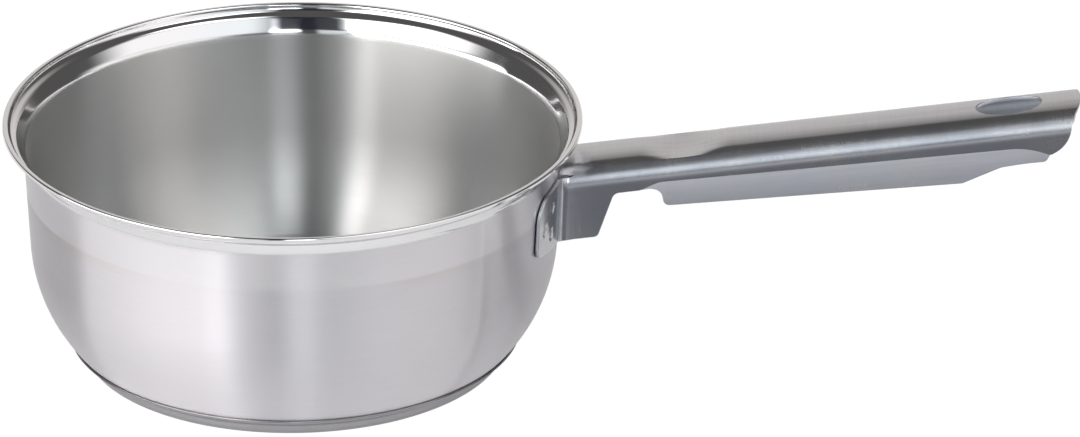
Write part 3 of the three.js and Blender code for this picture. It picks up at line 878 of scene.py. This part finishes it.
def thickened(points, faces, normals, thick, round_off):
    """A sheet below an outer face, with its free edges rounded off."""
    after, before = {}, {}
    used = {}
    for face in faces:
        for i in range(3):
            edge = (face[i], face[(i + 1) % 3])
            used[edge] = used.get(edge, 0) + 1
    for a, b in used:
        if (b, a) not in used:
            after[a], before[b] = b, a
    edge = sorted(v for v in after if v in before)
    ahead = points[[after[v] for v in edge]] - points[edge]
    behind = points[edge] - points[[before[v] for v in edge]]
    ahead /= np.linalg.norm(ahead, axis=1)[:, None]
    behind /= np.linalg.norm(behind, axis=1)[:, None]
    up = normals[edge]
    first, second = np.cross(behind, up), np.cross(ahead, up)
    out = first + second
    size = np.linalg.norm(out, axis=1)[:, None]
    out = np.where(size > 0.2, out / np.maximum(size, 1e-9), first)
    mitre = 1 / np.clip(np.sum(out * first, axis=1), 0.6, 1)[:, None]
    count = len(points)
    outer, inner = points.copy(), points - normals * thick
    outer[edge] -= out * mitre * round_off
    inner[edge] -= out * mitre * round_off
    all_points, all_normals = [outer, inner], [normals, -normals]
    turns = np.radians((22.5, 45, 67.5, 90))
    rings = []
    for part, base in ((1, 0), (-1, thick)):
        order = turns if part > 0 else turns[::-1]
        for turn in order:
            sunk = base + part * (round_off - round_off * math.cos(turn))
            spot = points[edge] - up * sunk
            spot = spot - out * mitre * round_off * (1 - math.sin(turn))
            rings.append((spot, part * math.cos(turn) * up + math.sin(turn) * out))
    start = 2 * count
    for spot, normal in rings:
        all_points.append(spot)
        all_normals.append(normal)
    made = [tuple(f) for f in faces] + [tuple(f[::-1] + count) for f in faces]
    place = {v: i for i, v in enumerate(edge)}
    levels = len(rings)

    def at(vertex, level):
        if level == 0:
            return vertex
        if level == levels + 1:
            return vertex + count
        return start + (level - 1) * len(edge) + place[vertex]

    for v in edge:
        w = after[v]
        if w in place:
            for level in range(levels + 1):
                made.append((at(v, level), at(v, level + 1), at(w, level + 1), at(w, level)))
    return np.vstack(all_points), made, np.vstack(all_normals)


def forms(context):
    """The vessel's and the handle's forms, from the scene's sizes."""
    scene = context.scene
    vessel = VesselForm(scene.saucepan_vessel, scene.saucepan_base)
    return vessel, HandleForm(scene.saucepan_handle, scene.saucepan_ears, vessel)


# Steels
def turned_coordinates(shader):
    """Angle, radius and height of a point about the pan's axis."""
    x, y, z = shader.axes()
    return y.math("ARCTAN2", x), (x * x + y * y).math("SQRT"), z


def pan_steel(context):
    """Satin steel, brushed round the pan, with a polished rim and a brighter band under it."""
    s, v = context.scene.saucepan_steel, context.scene.saucepan_vessel
    material, shader = new_material("pan_steel")
    turn, radius, height = turned_coordinates(shader)
    lines = shader.noise((turn * 2.2, radius * 420, height * 420), 3.0, 3.0, 0.6)
    broad = shader.noise((turn * 1.2, radius * 14, height * 14))
    rim = height.ramp(v.wall_top - 0.9 * MM, v.wall_top + 0.2 * MM)
    band = height.ramp(v.polish_height - 0.5 * MM, v.polish_height + 0.7 * MM)
    x, y, _ = shader.axes()
    out_x, out_y, _ = shader.outward()
    outer = (out_x * x + out_y * y).ramp(-0.002, 0.002)
    tint = (height.ramp(v.polish_height - 5 * MM, v.polish_height) - band) * broad.ramp(0.45, 0.7)
    satin = shader.mix(outer, tuple(s.inside), tuple(s.pan))
    satin = shader.mix(tint * outer * 0.5, satin, tuple(s.tint))
    satin = shader.mix(band * outer * 0.15, satin, tuple(s.polish))
    satin = shader.mix(lines * 0.10, satin, (0.42, 0.42, 0.43))
    rough = s.inside_roughness + (s.satin_roughness - s.inside_roughness) * outer
    rough = rough + (lines - 0.5) * 0.08 + (broad - 0.5) * 0.04 - band * outer * 0.06
    rough = rough * (1 - rim) + rim * s.polish_roughness
    shade = shader.mix(rim, satin, tuple(s.polish))
    shader.metal(shade, rough, (lines * (1 - rim), 0.02 * MM, 0.35), turned=1.0)
    return material


def base_steel(context):
    """Turned steel of the base capsule, with fine rings. Its colour is darker than the steel alone,
    partly as painted shade from the floor under the pan that it mirrors.
    """
    s = context.scene.saucepan_steel
    material, shader = new_material("base_steel")
    turn, radius, height = turned_coordinates(shader)
    rings = shader.noise((turn * 1.5, radius * 700, height * 700), 2.5, 3.0, 0.6)
    broad = shader.noise((turn * 1.5, radius * 20, height * 20))
    shade = shader.mix(rings * 0.25, tuple(s.base), (0.36, 0.36, 0.37))
    rough = 0.30 + (rings - 0.5) * 0.1 + (broad - 0.5) * 0.05
    shader.metal(shade, rough, (rings, 0.03 * MM, 0.5), turned=0.6)
    return material


def handle_steel(context):
    """Steel brushed across the handle, with longer faint streaks and a duller inside, and a painted
    cool reflection on its sides.
    """
    s = context.scene.saucepan_steel
    material, shader = new_material("handle_steel")
    x, y, z = shader.axes()
    handle = context.scene.saucepan_handle
    # Height with the handle's rise taken off, and the middle of its section in that height.
    level = z - x * math.tan(handle.tilt)
    middle =handle.crest_height - WALL_AT_CREST * math.tan(handle.tilt) - 9 * MM
    across = shader.noise((x * 900, y * 30, z * 30), 1.0, 3.0, 0.6)
    along = shader.noise((x * 14, y * 420, level * 420), 1.0, 3.0, 0.6)
    broad = shader.noise((x * 45, y * 60, level * 60), 1.0, 3.0)
    _, out_y, out_z = shader.outward()
    inner = (out_y * y + out_z * (level - middle)).ramp(-0.002, 0, 1, 0)
    # Painted reflection: faces that turn sideways take the bluer side colour.
    shade = shader.mix((out_y * out_y).ramp(0.1, 0.7), tuple(s.handle), tuple(s.handle_side_painted_reflection))
    shade = shader.mix(across * 0.16, shade, (0.34, 0.34, 0.36))
    shade = shader.mix(along.ramp(0.45, 0.75) * 0.30, shade, (0.48, 0.46, 0.46))
    shade = shader.mix(broad.ramp(0.45, 0.75) * 0.30, shade, (0.72, 0.69, 0.68))
    rough = s.handle_roughness + (across - 0.5) * 0.08 + (along - 0.5) * 0.12
    rough = rough + (broad - 0.5) * 0.10 + inner * 0.24
    shader.metal(shade, rough, (across + along * 0.6, 0.02 * MM, 0.5))
    return material


def weld_steel(context):
    """Pressed weld marks, mottled and a little straw."""
    material, shader = new_material("weld_steel")
    spots = shader.noise(shader.axes(), 2200.0, 3.0)
    shade = shader.mix(spots, tuple(context.scene.saucepan_steel.weld), (0.62, 0.58, 0.54))
    shader.metal(shade, 0.22 + spots * 0.2, (spots, 0.08 * MM, 0.6))
    return material


def core_aluminium(context):
    """Rolled aluminium of the core, which the capsule hides."""
    material, shader = new_material("core_aluminium")
    x, y, z = shader.axes()
    rolled = shader.noise((x * 20, y * 900, z * 20))
    core = tuple(context.scene.saucepan_steel.core)
    shade = shader.mix(rolled * 0.3, core, (0.6, 0.61, 0.63))
    shader.metal(shade, 0.42 + rolled * 0.12, (rolled, 0.02 * MM, 0.4))
    return material


# Pieces
class SAUCEPAN_OT_vessel(bpy.types.Operator):
    """Makes the drawn vessel with its flare, lid seat and curled lip."""

    bl_idname = "saucepan.vessel"
    bl_label = "Vessel"

    def execute(self, context):
        vessel, _ = forms(context)
        turned = lathe(vessel.profile(), 360)
        add_mesh("vessel", *turned, pan_steel(context), "pan_steel", "pan_body")
        return {"FINISHED"}


class SAUCEPAN_OT_base(bpy.types.Operator):
    """Makes the pressed capsule under the vessel."""

    bl_idname = "saucepan.base"
    bl_label = "Base"

    def execute(self, context):
        vessel, _ = forms(context)
        v, b = context.scene.saucepan_vessel, context.scene.saucepan_base
        wall = vessel.core_radius + b.gap + b.sheet
        edge = arc((wall - b.edge_radius, b.edge_radius), b.edge_radius, -math.pi / 2, 0, 10)
        lip = arc(
            vessel.corner,
            v.corner_radius + b.gap + b.sheet,
            -v.belly_sweep - b.lip_sweep,
            -v.belly_sweep,
            10,
        )
        step = np.array(((wall, lip[0][1] - b.step_radius),))
        outside = np.vstack((((0.0, 0.0),), edge, step, lip))
        inside = offset_line(outside, b.sheet)
        inside[0, 0] = 0
        end = round_end(outside[-1], inside[-1])
        profile = np.vstack((filled_in(outside, STEP), end, filled_in(inside[::-1], STEP)))
        turned = lathe(profile, 300)
        add_mesh("capsule", *turned, base_steel(context), "base_steel", "base_capsule")
        return {"FINISHED"}


class SAUCEPAN_OT_core(bpy.types.Operator):
    """Gives the hidden aluminium core its finish."""

    bl_idname = "saucepan.core"
    bl_label = "Heat core"

    def execute(self, context):
        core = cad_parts["heat_core"]
        core.data.materials.clear()
        core.data.materials.append(core_aluminium(context))
        return {"FINISHED"}


class SAUCEPAN_OT_handle(bpy.types.Operator):
    """Makes the folded sheet handle with its two ears."""

    bl_idname = "saucepan.handle"
    bl_label = "Handle"

    def execute(self, context):
        _, form = forms(context)
        h = form.h
        half = form.channel_outline()
        whole = np.vstack((half, (half[1:-1] * (1, -1))[::-1]))
        turns = np.linspace(0, TURN, 49)[:-1]
        wide = np.arcsin(h.hole_width / 2 * np.sin(turns) / form.crown_radius)
        hole = np.column_stack(
            (
                h.reach - h.hole_inset + h.hole_length / 2 * np.cos(turns),
                wide * form.rows[1] / h.crown_angle,
            )
        )
        parts = zip(form.rows[:-1], form.rows[1:], CHANNEL_ROWS)
        lines = np.concatenate([np.linspace(*part)[:-1] for part in parts])
        lines = np.concatenate((-lines[:0:-1], lines))
        columns = np.arange(0, h.reach, CHANNEL_STEP)
        flat, faces = meshed([whole, hole], columns, lines, CHANNEL_ROOM)
        points, normals = surfaced(form.channel, flat)
        if normals[np.argmax(points[:, 2])][2] < 0:
            normals = -normals
        patches = [(points, facing(points, faces, normals), normals)]
        outline = form.ear_outline()
        low, high = outline.min(axis=0), outline.max(axis=0)
        columns = np.arange(low[0], high[0], EAR_STEP)
        heights = np.arange(low[1], high[1], EAR_DROP)
        flat, faces = meshed([outline], columns, heights, EAR_ROOM)
        for side in (1, -1):
            points, normals = surfaced(lambda q, z, side=side: form.ear(q, z, side), flat)
            if np.sum(normals[:, 1]) * side < 0:
                normals = -normals
            patches.append((points, facing(points, faces, normals), normals))
        sheet = thickened(*joined(patches), h.sheet, h.edge_round)
        add_mesh("handle_sheet", *sheet, handle_steel(context), "handle_steel", "handle")
        return {"FINISHED"}


class SAUCEPAN_OT_welds(bpy.types.Operator):
    """Makes the six pressed weld marks in the ears."""

    bl_idname = "saucepan.welds"
    bl_label = "Spot welds"

    def execute(self, context):
        _, form = forms(context)
        radius = WELD_CAP_SHARE * form.e.weld_radius
        material = weld_steel(context)
        cap = np.array(WELD_CAP) * (radius, MM)
        under = ((0, -WELD_CAP_DEPTH), (radius, -WELD_CAP_DEPTH))
        spots, faces, normals = lathe(np.vstack((under, cap)), 40)
        for side, word in ((1, "left"), (-1, "right")):
            for name, (place, height) in zip(WELDS, form.welds()):
                face = form.seat_at(height) + form.h.sheet - form.e.weld_dish + WELD_CAP_LIFT
                turn = side * math.asin(place / face)
                out = Vector((math.cos(turn), math.sin(turn), 0))
                lift = out.to_track_quat("Z", "Y").to_matrix().to_4x4()
                move = Matrix.Translation(out * face + Vector((0, 0, height))) @ lift
                node = f"spot_weld_{word}_{name}"
                made = [move @ Vector(p) for p in spots]
                outs = [lift @ Vector(n) for n in normals]
                add_mesh(f"weld_{word}_{name}", made, faces, outs, material, "weld_steel", node)
        return {"FINISHED"}


# Soft boxes: start, end and soft edge round the pan, then the same upward, in degrees, and the
# strength. Round the pan 0 is the front and 90 the handle's side.
SOFT_BOXES = (
    ("low left", -97, -27, 6, -5, 14, 14, 4.9),
    ("high left", -80, -27, 34, 22, 57, 12, 2.3),
    ("left edge", -34, -24, 4, 12, 50, 12, 3.6),
    ("fill by the camera", -24, -9, 4, 4, 44, 10, 0.65),
    ("front strip", -1, 11, 4, 17, 38, 10, 4.6),
    ("right", 12, 88, 24, 17, 54, 12, 1.0),
    ("high right", 22, 105, 24, 58, 76, 10, 2.3),
    ("low right", 30, 96, 20, -5, 16, 12, 0.95),
)


def studio_world(context):
    """Soft boxes round the room over a white horizon."""
    world = bpy.data.worlds.new("studio")
    world.use_nodes = True
    context.scene.world = world
    shader = Shader(world.node_tree)
    x, y, z = shader.axes("Generated")
    turn = x.math("ARCTAN2", -y) * (180 / math.pi)
    rise = z.math("ARCSINE") * (180 / math.pi)
    back = turn.math("ABSOLUTE").ramp(130, 165)
    light = 0.09 + 0.6 * back * rise.ramp(28, 48, 1, 0)
    for _, left, right, soft, low, high, soft_up, strength in SOFT_BOXES:
        across = turn.ramp(left - soft / 2, left + soft / 2)
        across = across * turn.ramp(right - soft / 2, right + soft / 2, 1, 0)
        upward = rise.ramp(low - soft_up / 2, low + soft_up / 2)
        upward = upward * rise.ramp(high - soft_up / 2, high + soft_up / 2, 1, 0)
        light = light + across * upward * strength
    horizon = rise.ramp(1.5, 3.5, 1, 0)
    front = turn.math("ABSOLUTE").ramp(100, 135, 1, 0)
    cool = turn.ramp(-32, -18) * turn.ramp(20, 60, 1, 0)
    tone = shader.mix(front, (1.0, 0.965, 0.945), (1.0, 0.985, 0.99))
    tone = shader.mix(cool, tone, (0.93, 0.975, 1.0))
    shade = shader.mix(horizon, tone, (1, 1, 1))
    strength = light * (1 - horizon) + horizon
    values = {"Color": shade, "Strength": strength}
    shader.output("World", shader.node("ShaderNodeBackground", None, values))


def pale_floor(context):
    """White paper that keeps the pan's shadow. The camera sees it white, and the metal paler."""
    material, shader = new_material("pale_floor")
    camera, mirrored, seen_through = (
        shader.node("ShaderNodeLightPath", None, None, f"Is {ray} Ray")
        for ray in ("Camera", "Glossy", "Transmission")
    )
    white = camera * 0.88 + mirrored.math("MAXIMUM", seen_through) * 0.32
    lit = shader.node("ShaderNodeEmission", None, {"Color": (1, 1, 1, 1), "Strength": 1.1})
    floor = (*context.scene.saucepan_stage.floor, 1)
    paper = shader.node("ShaderNodeBsdfDiffuse", None, {"Color": floor})
    shader.blend(white, paper, lit)
    return material


# Black nets, out of the camera's sight, that the steel mirrors: their spans in x, y and z.
DARK_CARDS = {
    "side": ((0.087, 0.29), (-0.062, -0.062), (0, 0.13)),
    "low": ((0.118, 0.29), (-0.045, 0), (0.012, 0.012)),
    "front": ((-0.15, 0.06), (-0.25, -0.25), (0.23, 0.7)),
}


def dark_card(context, place):
    """Black net, thinner upward beside the handle, outward below it and to the sides in front."""
    handle = context.scene.saucepan_handle
    material, shader = new_material("dark_card")
    x, y, z = shader.axes()
    line = handle.crest_height - 8 * MM + (x - WALL_AT_CREST) * math.tan(handle.tilt)
    if place == "side":
        cover = (z - line).ramp(-0.020, 0.018, 0.80, 0)
    elif place == "low":
        cover = (y + line * 0.25).ramp(-0.0105, -0.0035, 0, 0.50)
    else:
        cover = z.ramp(0.23, 0.30, 0, 0.95) * x.ramp(-0.15, -0.10) * x.ramp(0.03, 0.06, 1, 0)
    cloth = shader.node("ShaderNodeBsdfDiffuse", None, {"Color": (0.045, 0.05, 0.07, 1)})
    shader.blend(cover, shader.node("ShaderNodeBsdfTransparent"), cloth)
    return material


def stage_sheet(name, spans, material):
    """A flat sheet that belongs to the studio, from its spans, one of which has no length."""
    (x0, x1), (y0, y1), (z0, z1) = spans
    corners = [(x0, y0, z0), (x1, y0, z0), (x1, y1, z1), (x0, y1, z1)]
    mesh = bpy.data.meshes.new(name)
    mesh.from_pydata(corners, [], [(0, 1, 2, 3)])
    mesh.materials.append(material)
    sheet = bpy.data.objects.new(name, mesh)
    bpy.context.scene.collection.objects.link(sheet)
    return sheet


def add_camera(context):
    """The camera, placed from the picture's scale and the pan's place in it."""
    s = context.scene.saucepan_stage
    scale = s.pixels_per_mm / MM
    right = Vector((math.cos(s.turn), math.sin(s.turn), 0))
    level = Vector((math.sin(s.turn), -math.cos(s.turn), 0))
    back = level * math.cos(s.elevation) + Vector((0, 0, math.sin(s.elevation)))
    up = back.cross(right)
    faced = Vector((0, 0, s.aim_height))
    place = faced + back * s.distance
    dx, dy = s.photo_width / 2 - s.pan_x, s.photo_height / 2 - s.pan_y
    cos, sin = math.cos(s.roll), -math.sin(s.roll)
    u, v = cos * dx + sin * dy, -sin * dx + cos * dy
    target = faced + right * (u / scale) - up * (v / scale)
    data = bpy.data.cameras.new("camera")
    camera = bpy.data.objects.new("camera", data)
    context.scene.collection.objects.link(camera)
    context.scene.camera = camera
    aim = (place - target).normalized()
    side = right - aim * right.dot(aim)
    side.normalize()
    upright = aim.cross(side)
    turned = Matrix((side, upright, aim)).transposed().to_4x4()
    camera.matrix_world = Matrix.Translation(place) @ turned @ Matrix.Rotation(-s.roll, 4, "Z")
    data.sensor_width = 36
    data.lens = data.sensor_width * s.distance * scale / s.photo_width
    data.clip_start, data.clip_end = 0.5, 60


class SAUCEPAN_OT_stage(bpy.types.Operator):
    """Makes the floor, the studio light and the camera."""

    bl_idname = "saucepan.stage"
    bl_label = "Studio"

    def execute(self, context):
        wide, low = 3.0, -0.05 * MM
        stage_sheet("floor", ((-wide, wide), (-wide, wide), (low, low)), pale_floor(context))
        for place, spans in DARK_CARDS.items():
            card = stage_sheet(f"{place}_card", spans, dark_card(context, place))
            card.visible_camera = card.visible_diffuse = card.visible_shadow = False
        studio_world(context)
        add_camera(context)
        context.scene.view_settings.view_transform = "Standard"
        return {"FINISHED"}


OPERATORS = (
    SAUCEPAN_OT_stage,
    SAUCEPAN_OT_vessel,
    SAUCEPAN_OT_base,
    SAUCEPAN_OT_core,
    SAUCEPAN_OT_handle,
    SAUCEPAN_OT_welds,
)


class SAUCEPAN_PT_panel(bpy.types.Panel):
    """Lists the pieces of the saucepan."""

    bl_idname = "SAUCEPAN_PT_panel"
    bl_label = "Saucepan"
    bl_space_type = "VIEW_3D"
    bl_region_type = "UI"
    bl_category = "Saucepan"

    def draw(self, context):
        for operator in OPERATORS:
            self.layout.operator(operator.bl_idname)


CLASSES = (*GROUPS.values(), *OPERATORS, SAUCEPAN_PT_panel)


def register():
    """Registers the sizes, the operators and the panel."""
    for cls in CLASSES:
        bpy.utils.register_class(cls)
    for name, group in GROUPS.items():
        setattr(bpy.types.Scene, name, bpy.props.PointerProperty(type=group))


def unregister():
    """Takes them away again."""
    for name in GROUPS:
        delattr(bpy.types.Scene, name)
    for cls in reversed(CLASSES):
        bpy.utils.unregister_class(cls)


def main():
    """Makes every piece in order."""
    register()
    for operator in OPERATORS:
        group, name = operator.bl_idname.split(".")
        getattr(getattr(bpy.ops, group), name)()


if __name__ == "__main__":
    main()
